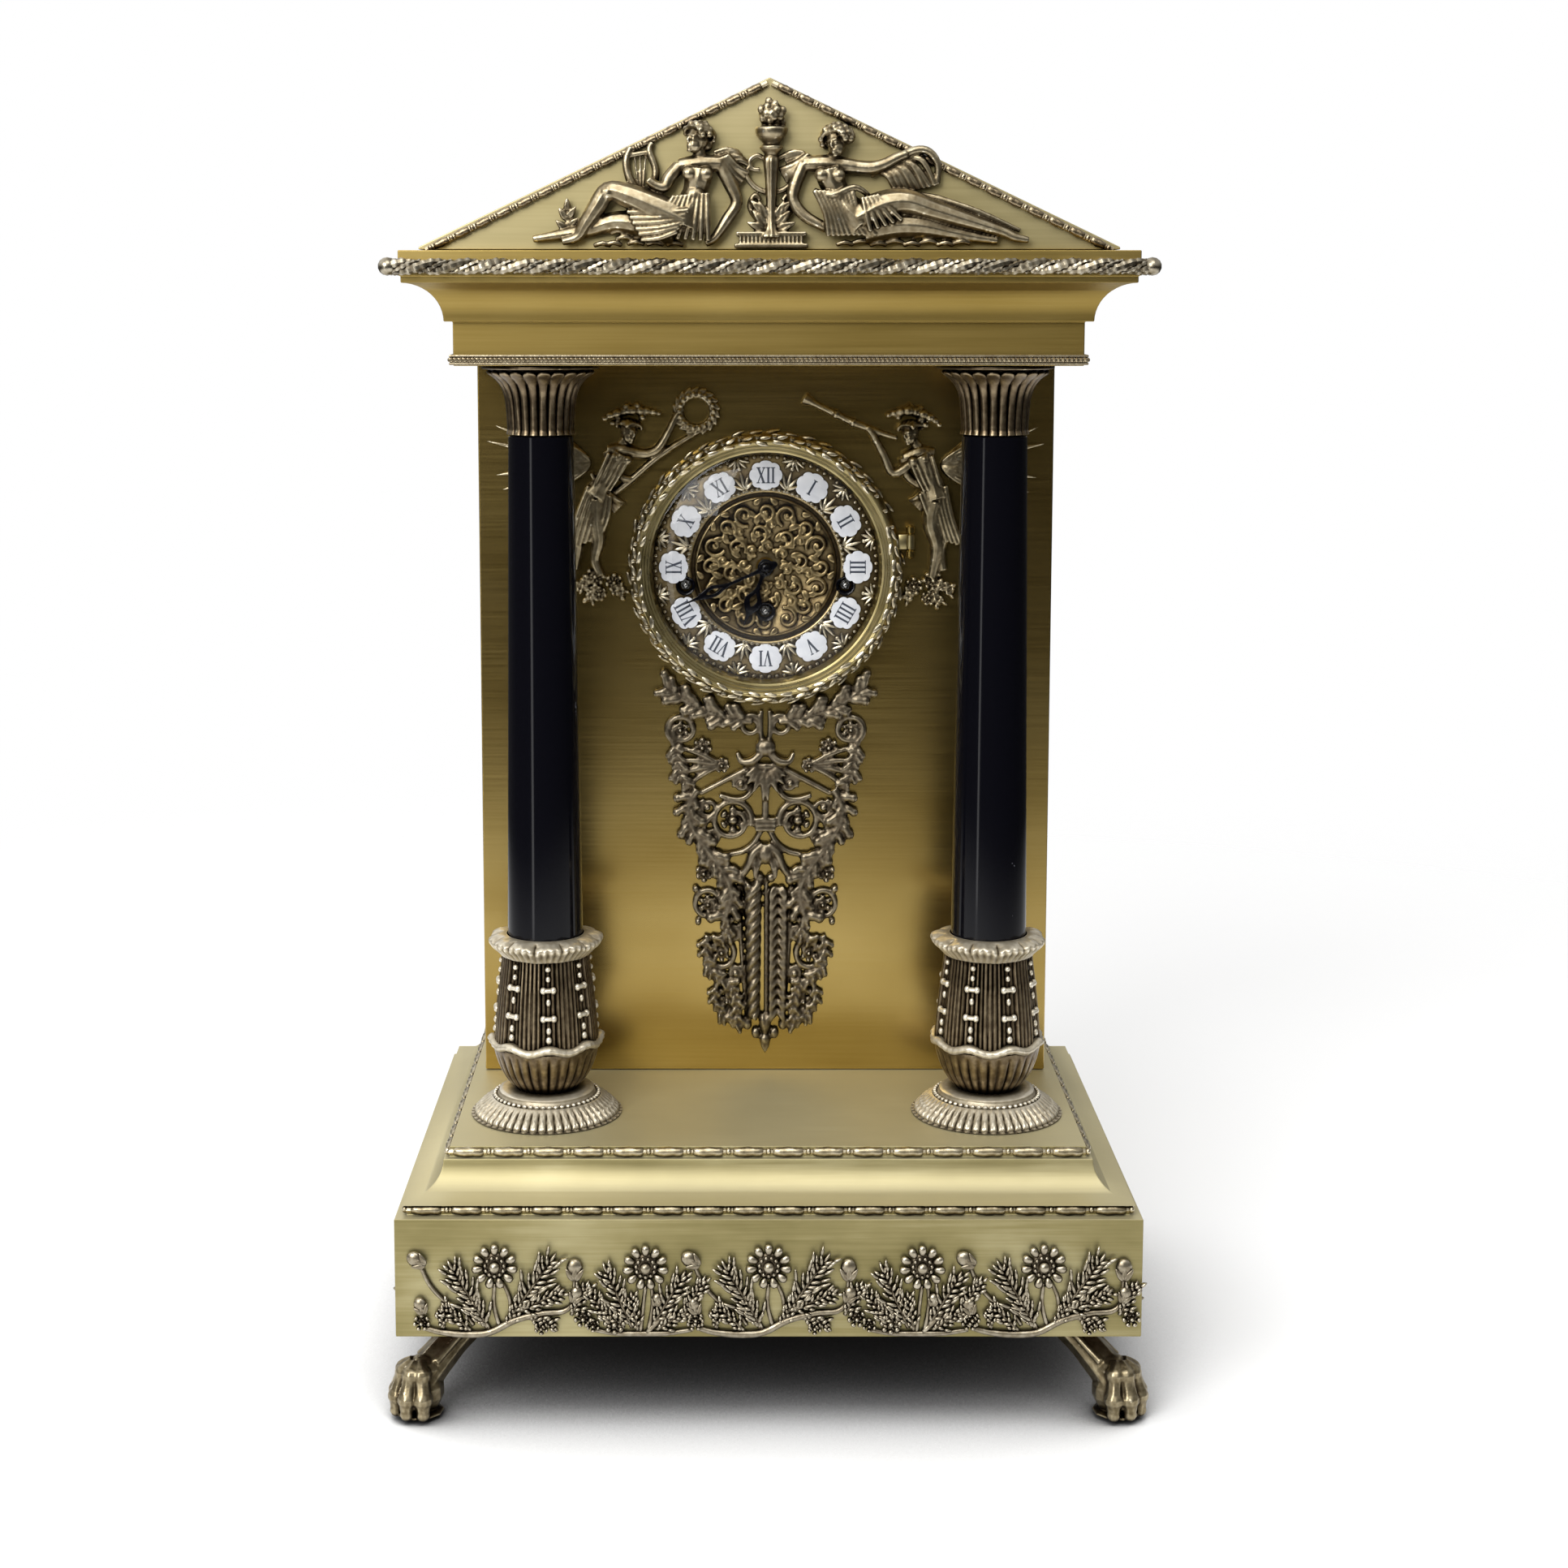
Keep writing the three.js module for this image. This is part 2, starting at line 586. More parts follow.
const DIAL_HOLE = GLASS_RADIUS + SHEET / 2;
const DOOR_HINGE = { x: -CASE_WIDTH / 2 + SHEET + HINGE_RADIUS, y: CASE_BACK + FIT + HINGE_RADIUS };
const doorHingeHeights = [0.2, 0.8].map((share) => CASE_FLOOR + CASE_HEIGHT * share);
const BEZEL_HINGE = { x: BEZEL_RADIUS + FIT + HINGE_RADIUS, y: -BEZEL_HEIGHT / 2, z: 10.7 };
const BEZEL_KNUCKLE = 6; // length of the bezel's middle knuckle

// A hinge knuckle along Z at [x, y], between two heights.
function knuckle(x, y, z0, z1, radius = HINGE_RADIUS) {
  const geometry = new THREE.CylinderGeometry(radius, radius, z1 - z0, 8);
  return solid(geometry.rotateX(Math.PI / 2).translate(x, y, (z0 + z1) / 2));
}

// Outer knuckles of a door hinge with the pin through them, on a strap to the case's wall.
function doorHingeFixed(middle) {
  const { x, y } = DOOR_HINGE;
  const end = HINGE_LENGTH / 2;
  const inner = end / 3;
  const strap = (z0, z1) => box([x - HINGE_RADIUS - SHEET, CASE_BACK - SHEET, z0], [x, y, z1]);
  return [
    knuckle(x, y, middle + inner, middle + end),
    knuckle(x, y, middle - end, middle - inner),
    knuckle(x, y, middle - end, middle + end, HINGE_RADIUS / 2),
    strap(middle + inner, middle + end).subtract(box([x - HINGE_RADIUS, 0, 0], [x, CASE_BACK, CASE_TOP])),
    strap(middle - end, middle - inner).subtract(box([x - HINGE_RADIUS, 0, 0], [x, CASE_BACK, CASE_TOP])),
  ];
}

// Outer knuckles and pin of the bezel's hinge, on a leaf riveted to the case's front.
function bezelHingeFixed() {
  const { x, y, z } = BEZEL_HINGE;
  const inner = BEZEL_KNUCKLE / 2 + FIT;
  const end = inner + BEZEL_KNUCKLE / 2;
  const depth = CASE_FRONT + y;
  const leafAt = (z0, z1) =>
    box([x - HINGE_RADIUS, depth, z0], [x + HINGE_RADIUS, CASE_FRONT + SHEET / 2, z1]);
  const middle = DIAL_Z + z;
  return [
    knuckle(x, depth, middle + inner, middle + end),
    knuckle(x, depth, middle - end, middle - inner),
    knuckle(x, depth, middle - end, middle + end, HINGE_RADIUS / 2),
    leafAt(middle + inner, middle + end),
    leafAt(middle - end, middle - inner),
  ];
}

function caseShell() {
  const outer = box([-CASE_WIDTH / 2, CASE_FRONT, CASE_FLOOR], [CASE_WIDTH / 2, CASE_BACK, CASE_TOP]);
  const inner = box(
    [-CASE_WIDTH / 2 + SHEET, CASE_FRONT + SHEET, CASE_FLOOR + SHEET],
    [CASE_WIDTH / 2 - SHEET, CASE_BACK + SHEET, CASE_TOP - SHEET],
  );
  const hole = barAcross(DIAL_HOLE, CASE_FRONT - SHEET, CASE_FRONT + 2 * SHEET, 28, [0, DIAL_Z]);
  const shell = cut(outer, [inner, hole]);
  return join([shell, ...doorHingeHeights.flatMap(doorHingeFixed), ...bezelHingeFixed()]);
}

piece(clock, "case_shell", caseShell(), sheetBrass);

// Rear door: a flat sheet with the inner knuckles of its hinges and a riveted knob

function rearDoor() {
  const y0 = CASE_BACK - SHEET;
  const { x, y } = DOOR_HINGE;
  const right = CASE_WIDTH / 2 - SHEET - FIT;
  const frame = SHEET + DOOR_MARGIN;
  const sheet = box([x, y0, CASE_FLOOR + frame], [right, CASE_BACK, CASE_TOP - frame]);
  const inner = HINGE_LENGTH / 6 - FIT;
  const knuckles = doorHingeHeights.flatMap((middle) => [
    knuckle(x, y, middle - inner, middle + inner),
    box([x, y0, middle - inner], [x + HINGE_RADIUS, y, middle + inner]),
  ]);
  const bores = doorHingeHeights.map((middle) =>
    knuckle(x, y, middle - HINGE_LENGTH, middle + HINGE_LENGTH, HINGE_RADIUS / 2 + RUNNING),
  );
  const knobProfile = [
    [0, CASE_BACK - SHEET / 2],
    [KNOB_RADIUS / 2, CASE_BACK - SHEET / 2],
    [KNOB_RADIUS / 2, CASE_BACK + KNOB_RADIUS],
    [KNOB_RADIUS, CASE_BACK + 1.4 * KNOB_RADIUS],
    [KNOB_RADIUS * 0.8, CASE_BACK + 2 * KNOB_RADIUS],
    [0, CASE_BACK + 2.2 * KNOB_RADIUS],
  ];
  const knobPlace = [right - 3 * KNOB_RADIUS, 0, (CASE_FLOOR + CASE_TOP) / 2];
  const knobPoints = knobProfile.map(([r, depth]) => new THREE.Vector2(r, depth));
  const knob = solid(new THREE.LatheGeometry(knobPoints, 12).translate(...knobPlace));
  return cut(join([sheet, ...knuckles]), bores).add(knob);
}

piece(clock, "rear_door", rearDoor(), sheetBrass);

// Columns: foot ring, leafy drum, black shaft and fluted capital, drawn together by a tie rod

const BORE = ROD_RADIUS + FIT;
const CAPITAL_FOOT = SHAFT_NECK_RADIUS - 1;

// Rings of a fluted form: [radius, flute depth, height], bored through.
function flutedBody(levels) {
  const count = FLUTES * 2;
  const positions = [];
  for (const [radius, depth, z] of levels) {
    for (let i = 0; i < count; i++) {
      const angle = (2 * Math.PI * i) / count;
      const r = i % 2 ? radius - depth : radius;
      positions.push(r * Math.cos(angle), r * Math.sin(angle), z);
    }
  }
  const last = (levels.length - 1) * count;
  const foot = positions.push(0, 0, levels[0][2]) / 3 - 1;
  const head = positions.push(0, 0, levels.at(-1)[2]) / 3 - 1;
  const index = [];
  for (let i = 0; i < count; i++) {
    const j = (i + 1) % count;
    index.push(foot, j, i, head, last + i, last + j);
    for (let ring = 0; ring < last; ring += count) {
      index.push(ring + i, ring + j, ring + count + j, ring + i, ring + count + j, ring + count + i);
    }
  }
  const geometry = new THREE.BufferGeometry();
  geometry.setAttribute("position", new THREE.Float32BufferAttribute(positions, 3));
  geometry.setIndex(index);
  return solid(geometry);
}

function boredThrough(body, z0, z1) {
  const geometry = new THREE.CylinderGeometry(BORE, BORE, z1 - z0 + 2, 10);
  return body.subtract(solid(geometry.rotateX(Math.PI / 2).translate(0, 0, (z0 + z1) / 2)));
}

function columnFoot() {
  const r = COLUMN_FOOT_RADIUS;
  const h = COLUMN_FOOT_HEIGHT;
  const profile = [
    [BORE, FIT],
    [r, FIT],
    [r, 0.35 * h],
    [r - 1.5, 0.55 * h],
    [r - 7, 0.8 * h],
    [r - 8.5, h],
    [BORE, h],
  ];
  return turned(profile, 18);
}

// The drum swells from a gadrooned bowl to a belt, then rises straight to a scalloped collar.
function columnDrum() {
  const r = DRUM_RADIUS;
  const h = DRUM_HEIGHT;
  const socket = SHAFT_FOOT_RADIUS + FIT;
  const profile = [
    [BORE, 0],
    [r - 4, 0],
    [r - 2.5, 2],
    [r, 10],
    [r + 1.2, 16.5],
    [r + 2.6, 19],
    [r + 1, 22],
    [r - 0.8, h - 11],
    [r + 1.6, h - 6],
    [r + 1.6, h - 1.5],
    [r + 0.4, h],
    [socket, h],
    [socket, h - SOCKET_DEPTH],
    [BORE, h - SOCKET_DEPTH],
  ];
  return turned(profile, 16);
}

function columnShaft(length) {
  const profile = [
    [BORE, 0],
    [SHAFT_FOOT_RADIUS, 0],
    [SHAFT_NECK_RADIUS, length],
    [BORE, length],
  ];
  return turned(profile, 16);
}

function columnCapital() {
  const h = CAPITAL_HEIGHT;
  const levels = [
    [CAPITAL_FOOT, 0.6, 0],
    [CAPITAL_FOOT + 1.2, 0.8, 2],
    [CAPITAL_FOOT + 2, 1.4, 0.45 * h],
    [(CAPITAL_FOOT + CAPITAL_RADIUS) / 2, 1.4, 0.72 * h],
    [CAPITAL_RADIUS, 1.2, h - 2],
    [CAPITAL_RADIUS - 3, 0.4, h],
  ];
  return boredThrough(flutedBody(levels), 0, h);
}

function tieRod(length) {
  const profile = [
    [0, -NUT_HEIGHT],
    [NUT_RADIUS, -NUT_HEIGHT],
    [NUT_RADIUS, 0],
    [ROD_RADIUS, 0],
    [ROD_RADIUS, length],
    [NUT_RADIUS, length],
    [NUT_RADIUS, length + NUT_HEIGHT],
    [0, length + NUT_HEIGHT],
  ];
  return turned(profile, 6);
}

for (const [side, xSign] of [["left", -1], ["right", 1]]) {
  const column = groupAt(clock, (xSign * COLUMN_SPACING) / 2, COLUMN_Y, BASE_TOP);
  const drumFoot = COLUMN_FOOT_HEIGHT + FIT;
  const shaftFoot = SHAFT_FOOT - BASE_TOP;
  const shaftNeck = SHAFT_NECK - BASE_TOP;
  const nutSeat = -SHEET - FIT;
  piece(column, `column_foot_${side}`, columnFoot(), castBrass);
  piece(column, `column_drum_${side}`, columnDrum(), castBrass, [0, 0, drumFoot]);
  piece(column, `column_shaft_${side}`, columnShaft(shaftNeck - shaftFoot), blackLacquer, [0, 0, shaftFoot]);
  piece(column, `column_capital_${side}`, columnCapital(), castBrass, [0, 0, shaftNeck + FIT]);
  const rod = tieRod(SOFFIT + SHEET + FIT - BASE_TOP - nutSeat);
  piece(column, `column_tie_rod_${side}`, rod, steel, [0, 0, nutSeat]);
}

// Entablature: frieze, cove and rope-edged cornice in folded sheet, with a bead strip at its foot

const friezeFootprint = { halfWidth: FRIEZE_WIDTH / 2, front: FRIEZE_FRONT, back: CASE_BACK };

function entablature() {
  const cove = coveArc([CORNICE_STEP, FRIEZE_TOP], [COVE_LIP, COVE_TOP], 5);
  const outer = [
    [0, SOFFIT],
    [0, FRIEZE_TOP],
    ...cove,
    [COVE_LIP, ROPE_FLOOR],
    [ROPE_SEAT, ROPE_FLOOR],
    [ROPE_SEAT, CORNICE_TOP],
  ];
  const inner = [
    [-SHEET, SOFFIT + SHEET],
    [-SHEET, FRIEZE_TOP + SHEET],
    ...cove.map(([x, z]) => [x - SHEET, z + SHEET]),
    [COVE_LIP - SHEET, CORNICE_TOP - SHEET],
  ];
  const hollow = mouldedBlock(inner, { ...friezeFootprint, back: CASE_BACK - SHEET, flatBack: true });
  const margin = RAKE_WIDTH + SHEET;
  const access = box(
    [-PEDIMENT_HALF / 2, PEDIMENT_FRONT + margin, CORNICE_TOP - 2 * SHEET],
    [PEDIMENT_HALF / 2, CASE_BACK - 2 * margin, CORNICE_TOP + SHEET],
  );
  const shell = mouldedBlock(outer, { ...friezeFootprint, flatBack: true });
  return cut(shell, [hollow, access, ...columnHoles(SOFFIT - SHEET, SOFFIT + 2 * SHEET)]);
}

function ropeMoulding() {
  const centre = ROPE_SEAT + FIT + ROPE_RADIUS;
  const section = ringPoints([centre, ROPE_FLOOR + FIT + ROPE_RADIUS], ROPE_RADIUS, 10);
  return mitredMoulding(section, { ...friezeFootprint, openBack: true });
}

function beadStrip() {
  const section = [
    [FIT, SOFFIT + FIT],
    [FIT + BEAD_DEPTH, SOFFIT + FIT],
    [FIT + BEAD_DEPTH, SOFFIT + BEAD_HEIGHT],
    [FIT, SOFFIT + BEAD_HEIGHT],
  ];
  return mitredMoulding(section, { ...friezeFootprint, openBack: true });
}

piece(clock, "entablature", entablature(), sheetBrass);
piece(clock, "bead_strip", beadStrip(), castBrass);
piece(clock, "cornice_rope", ropeMoulding(), castBrass);

// Pediment: a gabled roof in sheet brass, open below, with a raking ribbon on each slope

const ROOF_SLOPE = Math.atan2(PEDIMENT_HEIGHT, PEDIMENT_HALF);

function pediment() {
  const roof = outline([
    [-PEDIMENT_HALF, 0],
    [PEDIMENT_HALF, 0],
    [0, PEDIMENT_HEIGHT],
  ]);
  const below = SHEET;
  const foot = PEDIMENT_HALF - SHEET / Math.sin(ROOF_SLOPE) + below / Math.tan(ROOF_SLOPE);
  const hollow = outline([
    [-foot, -below],
    [foot, -below],
    [0, PEDIMENT_HEIGHT - SHEET / Math.cos(ROOF_SLOPE)],
  ]);
  const attic = plate(hollow, PEDIMENT_FRONT + SHEET, CASE_BACK - SHEET);
  return plate(roof, PEDIMENT_FRONT, CASE_BACK).subtract(attic);
}

function rakeMoulding(sign) {
  const foot = PEDIMENT_HALF - FIT;
  const points = [
    [FIT / 2, PEDIMENT_HEIGHT],
    [foot, 0],
    [foot - RAKE_WIDTH / Math.sin(ROOF_SLOPE), 0],
    [FIT / 2, PEDIMENT_HEIGHT - RAKE_WIDTH / Math.cos(ROOF_SLOPE)],
  ].map(([x, z]) => [sign * x, z]);
  const front = PEDIMENT_FRONT - FIT;
  return plate(outline(points), front - RAKE_DEPTH, front);
}

piece(clock, "pediment", pediment(), sheetBrass, [0, 0, PEDIMENT_FLOOR]);
piece(clock, "rake_moulding_left", rakeMoulding(-1), castBrass, [0, 0, PEDIMENT_FLOOR]);
piece(clock, "rake_moulding_right", rakeMoulding(1), castBrass, [0, 0, PEDIMENT_FLOOR]);

// Pediment figures: two reclining women and a flaming torch between them, in half relief

const TYMPANUM = [0, PEDIMENT_FRONT - FIT, PEDIMENT_FLOOR + FIT];

// The woman on the left leans back on one arm and holds a lyre.
function lyreFigure() {
  const hip = [-34, 10.5];
  const knee = [-58.5, 21];
  const ankle = [-69, 3.5];
  const leftShoulder = [-31.5, 30];
  const rightShoulder = [-18.5, 32];
  const lyre = outline([[-48, 18], [-42, 18], [-39.5, 31], [-49.5, 32]]);
  const strings = [[-46.8, 29.5], [-42.5, 29], [-45, 21.5]];
  lyre.holes.push(new THREE.Path(strings.map((at) => new THREE.Vector2(...at))));
  return [
    egg([-26, -2.5, 38.3], [4.2, 4, 5]),
    egg([-22, -2, 39.8], [2.8, 2.8, 2.8]),
    limb([-25.5, 30], [-26, 37], 2.4, 2.2, 1.5),
    limb(leftShoulder, rightShoulder, 3.4, 3.2, 1),
    limb([-25.5, 28], hip, 5.6, 6.2, 0.5),
    limb(rightShoulder, [-12, 16.5], 2.4, 2.2, 1),
    limb([-12, 16.5], [-20, 4], 2.1, 1.8, 1),
    limb(leftShoulder, [-38, 22], 2.4, 2, 1.5),
    limb([-38, 22], [-46, 21.5], 2, 1.8, 1.5),
    plate(lyre, -2.4, 1),
    limb(hip, knee, 5, 3.6, 1),
    limb(knee, ankle, 3.4, 2.2, 1),
    limb(ankle, [-76, 3], 2, 1.5, 0.6),
    limb([-34, 6], [-62, 5], 4.6, 3.2, 0.4),
    limb([-62, 5], [-84, 3.2], 2.8, 1.4, 0.4),
  ];
}

// The woman on the right leans on one arm and lifts a billowing cloth.
function clothFigure() {
  const hip = [28, 10.5];
  const knee = [47, 16.5];
  const leftShoulder = [11.5, 28.5];
  const rightShoulder = [27.5, 29];
  return [
    egg([24.3, -2.5, 38.5], [4.4, 4, 5]),
    limb([21, 29], [23.5, 36], 2.4, 2.2, 1.5),
    limb(leftShoulder, rightShoulder, 3.2, 3.4, 1),
    limb([20.5, 27], hip, 5.4, 6.2, 0.5),
    limb(leftShoulder, [8.8, 17], 2.4, 2.2, 1),
    limb([8.8, 17], [22, 6], 2.2, 1.8, 1),
    limb(rightShoulder, [38.5, 30], 2.4, 2, 1.5),
    limb([38.5, 30.5], [51, 28.5], 2, 1.6, 1.2),
    egg([52, 0, 21], [7.5, 4, 8], 8, 4),
    limb(hip, knee, 5.2, 4, 1),
    limb(knee, [75, 9.5], 3.8, 2.4, 1),
    limb([75, 9.5], [91, 4.2], 2.4, 1.4, 0.6),
    limb([28, 6.5], [48, 6.5], 5, 4.2, 0.4),
    limb([48, 6.5], [70, 4.5], 3.8, 2.2, 0.4),
  ];
}

function torch() {
  const profile = [
    [0, 0],
    [6, 0],
    [6, 3.5],
    [2.2, 6],
    [1.6, 14],
    [2.4, 30],
    [2, 33],
    [5, 38],
    [4.6, 40.5],
    [5.2, 46],
    [3, 51],
    [0, 52],
  ];
  const stand = box([-13, -3.5, 0], [13, 1, 3.6]);
  return [turned(profile, 8), stand];
}

piece(clock, "pediment_figure_left", relief(lyreFigure()), castBrass, TYMPANUM);
piece(clock, "pediment_figure_right", relief(clothFigure()), castBrass, TYMPANUM);
piece(clock, "pediment_torch", relief(torch()), castBrass, TYMPANUM);

// Dial group: everything round the dial's centre, with depth counted from the case's front face

const dialGroup = groupAt(clock, 0, CASE_FRONT, DIAL_Z);
const ON_PANEL = [0, -FIT, 0];
const WING_TIP = CASE_WIDTH / 2 - 1.3; // the wings end short of the case's edge

// Winged figures beside the bezel; the columns hide their bodies from the front
function wreathFigure() {
  const elbow = [-48.5, 41.7];
  const shoulder = [-62, 47.5];
  const wreath = outline(ringPoints([-26.6, 61.4], 7.4, 12));
  roundHole(wreath, [-26.6, 61.4], 4.2, 8);
  return [
    egg([-52.5, -2, 57], [4.2, 4, 4.8]),
    egg([-52, -1.5, 61.5], [9.5, 4, 2.8]),
    limb([-52.5, 54], [-60, 46], 2.2, 2.6, 1),
    plate(wreath, -3, 1),
    limb([-30.5, 56.5], elbow, 1.8, 2.2, 1),
    limb(elbow, shoulder, 2.2, 2.8, 1),
    limb(shoulder, [-72, 24], 4.6, 5, 0.5),
    limb([-49, 39], [-68, 25], 1.6, 1.8, 0.5),
    limb([-71, 24], [-68, -1], 3.6, 2.4, 0.5),
    egg([-66.8, 0, -4.5], [8, 3.6, 6.5]),
    leaf([-66, 46], [-WING_TIP, 52], 13, 2.4),
    leaf([-68, 36], [3 - WING_TIP, 36], 11, 2),
  ];
}

function trumpetFigure() {
  const elbow = [49.7, 38];
  const shoulder = [65, 47.5];
  return [
    egg([57, -2, 55.5], [4.2, 4, 4.8]),
    egg([59.5, -1.5, 60.3], [9.5, 4, 2.8]),
    limb([57.5, 52], [63, 46], 2.2, 2.6, 1),
    limb([40.5, 57], [14.5, 67], 1.3, 2.8, 1),
    limb([40.5, 57], elbow, 1.8, 2.2, 1),
    limb(elbow, shoulder, 2.2, 2.8, 1),
    limb(shoulder, [73, 24], 4.6, 5, 0.5),
    limb([72, 24], [68, -5], 3.6, 2.4, 0.5),
    egg([67.5, 0, -9], [7.5, 3.6, 8]),
    leaf([67, 46], [WING_TIP, 48], 13, 2.4),
    leaf([69, 36], [WING_TIP, 33], 11, 2),
  ];
}

piece(dialGroup, "spandrel_figure_left", relief(wreathFigure()), castBrass, ON_PANEL);
piece(dialGroup, "spandrel_figure_right", relief(trumpetFigure()), castBrass, ON_PANEL);

// Pendant mount: scrolls and rosettes that taper from below the bezel to a point

const PENDANT_HEAD = -BEZEL_RADIUS - 6.7;
const PENDANT_TIP = CASE_FLOOR - DIAL_Z + 8.7;
const PENDANT_RELIEF = 2.4;

// Places on the pendant are [x, share of the way from its head to its tip].
function pendantMount() {
  const at = ([x, share]) => [x, PENDANT_HEAD + (PENDANT_TIP - PENDANT_HEAD) * share];
  const swag = [[-40, 0.015], [-24, -0.011], [0, 0.007], [24, -0.011], [40, 0.015]];
  const edge = [
    [37, -0.007],
    [36, 0.162],
    [29, 0.265],
    [31, 0.412],
    [27, 0.559],
    [26, 0.691],
    [17, 0.824],
    [-1, 0.949],
  ];
  const rosettes = [
    [35, 0.066, 5.6],
    [33, 0.191, 5],
    [13.5, 0.301, 9],
    [28, 0.478, 5.6],
    [25, 0.625, 5.2],
    [19, 0.765, 4.6],
  ];
  const stem = leaf(at([0, 0]), at([0, 1]), 15, PENDANT_RELIEF);
  const discs = rosettes.flatMap(([x, share, r]) =>
    [x, -x].map((side) => disc(at([side, share]), r, 7, PENDANT_RELIEF)),
  );
  const bands = [swag, edge, mirrored(edge)].map((line) => band(line.map(at), 3, PENDANT_RELIEF));
  return join([stem, ...bands, ...discs]);
}

piece(dialGroup, "pendant_mount", pendantMount(), castBrass, ON_PANEL);

// Bezel and glass: the bezel swings on a hinge at its right and carries the domed glass

const LIP_DEPTH = 4; // front of the bezel's lip behind its crest
const LIP_THICKNESS = 0.7;
const LIP_BACK = -BEZEL_HEIGHT + LIP_DEPTH + LIP_THICKNESS;

function bezel() {
  const seat = GLASS_RADIUS + FIT;
  const r = BEZEL_RADIUS;
  const h = BEZEL_HEIGHT;
  const ring = turnedAcross(
    [
      [seat, -FIT],
      [seat, LIP_BACK],
      [BEZEL_SIGHT, LIP_BACK],
      [BEZEL_SIGHT, LIP_BACK - LIP_THICKNESS],
      [seat + 0.6, LIP_BACK - LIP_THICKNESS - 0.8],
      [r - 5, -h + 0.8],
      [r - 3.8, -h],
      [r - 2, -h + 0.8],
      [r - 0.6, -h + 3.2],
      [r, -h / 2],
      [r, -FIT],
    ],
    24,
  );
  const { x, y, z } = BEZEL_HINGE;
  const end = BEZEL_KNUCKLE / 2;
  const middle = knuckle(x, y, z - end, z + end);
  const tongue = box([BEZEL_RADIUS - 3, y - HINGE_RADIUS / 2, z - end], [x, y + HINGE_RADIUS / 2, z + end]);
  const bore = knuckle(x, y, z - 2 * end, z + 2 * end, HINGE_RADIUS / 2 + RUNNING);
  return join([ring, middle, tongue]).subtract(bore);
}

function domedGlass() {
  const rim = LIP_BACK + FIT;
  const domeRadius = BEZEL_SIGHT - FIT;
  const face = (r) => rim - GLASS_DOME * (1 - (r / domeRadius) ** 2);
  const shares = [0, 0.35, 0.7, 1].map((share) => share * domeRadius);
  const front = shares.map((r) => [r, face(r)]);
  const back = shares.map((r) => [r, face(r) + GLASS_THICKNESS]).reverse();
  return turnedAcross([...front, [GLASS_RADIUS, rim], [GLASS_RADIUS, rim + GLASS_THICKNESS], ...back], 24);
}

piece(dialGroup, "dial_bezel", bezel(), castBrass);
piece(dialGroup, "bezel_glass", domedGlass(), clearGlass);

// Places in the dial's plane, [x, z] from its centre

const goingPlace = [0, -GOING_ARBOR_DROP];
const strikePlace = [-SIDE_ARBOR_OFFSET, -SIDE_ARBOR_DROP];
const chimePlace = [SIDE_ARBOR_OFFSET, -SIDE_ARBOR_DROP];
const windingPlaces = [goingPlace, strikePlace, chimePlace];
const centrePlace = [0, 0];
const spacing = ({ wheel, pinion, module }) => ((wheel + pinion) * module) / 2;
const polar = ([x, z], distance, degrees) => {
  const angle = THREE.MathUtils.degToRad(degrees);
  return [x + distance * Math.cos(angle), z + distance * Math.sin(angle)];
};

// The intermediate arbor lies at its two working distances from the barrel and from the centre.
const intermediatePlace = (() => {
  const toBarrel = spacing(GOING_TRAIN);
  const toCentre = spacing(INTERMEDIATE_TRAIN);
  const z = (toBarrel ** 2 - toCentre ** 2 - GOING_ARBOR_DROP ** 2) / (2 * GOING_ARBOR_DROP);
  return [Math.sqrt(toCentre ** 2 - z ** 2), z];
})();
const thirdPlace = polar(centrePlace, spacing(CENTRE_TRAIN), 60);
const escapePlace = polar(thirdPlace, spacing(THIRD_TRAIN), 120);
const minuteWheelPlace = polar(centrePlace, spacing(CANNON_TRAIN), 135);

// Dial: an embossed plate, a chapter ring with twelve enamel plaques, and two hands

const DIAL_FRONT = SHEET + FIT;
const CHAPTER_FRONT = DIAL_FRONT - FIT - CHAPTER_THICKNESS;
const WINDING_HOLE = WINDING_RADIUS + 1.2;
const PIPE_BORE = ARBOR_RADIUS + RUNNING;
const PIPE_RADIUS = PIPE_BORE + 0.85;
const EMBOSS_HEIGHT = 0.9;
const HAND_GAP = 1; // between plaques, hour hand and minute hand
const HOUR_HAND_BACK = CHAPTER_FRONT - PLAQUE_THICKNESS - HAND_GAP;
const MINUTE_HAND_BACK = HOUR_HAND_BACK - HAND_THICKNESS - HAND_GAP;
const DIAL_FOOT_RADIUS = 1.6;

const windingHoles = (y0, y1) => windingPlaces.map((place) => barAcross(WINDING_HOLE, y0, y1, 8, place));

function dialPlate() {
  const embossEdge = CHAPTER_INNER - 2;
  const disk = turnedAcross(
    [
      [PIPE_RADIUS + RUNNING, DIAL_BACK],
      [PIPE_RADIUS + RUNNING, DIAL_FRONT - EMBOSS_HEIGHT],
      [embossEdge - 1, DIAL_FRONT - EMBOSS_HEIGHT],
      [embossEdge, DIAL_FRONT],
      [DIAL_RADIUS, DIAL_FRONT],
      [DIAL_RADIUS, DIAL_BACK],
    ],
    24,
  );
  const feet = [90, 210, 330].map((degrees) => {
    const place = polar(centrePlace, DIAL_RADIUS - 2 * DIAL_FOOT_RADIUS, degrees);
    return barAcross(DIAL_FOOT_RADIUS, DIAL_BACK - DIAL_THICKNESS / 2, FRONT_PLATE - FIT, 6, place);
  });
  return cut(join([disk, ...feet]), windingHoles(-DIAL_BACK, DIAL_BACK + SHEET));
}

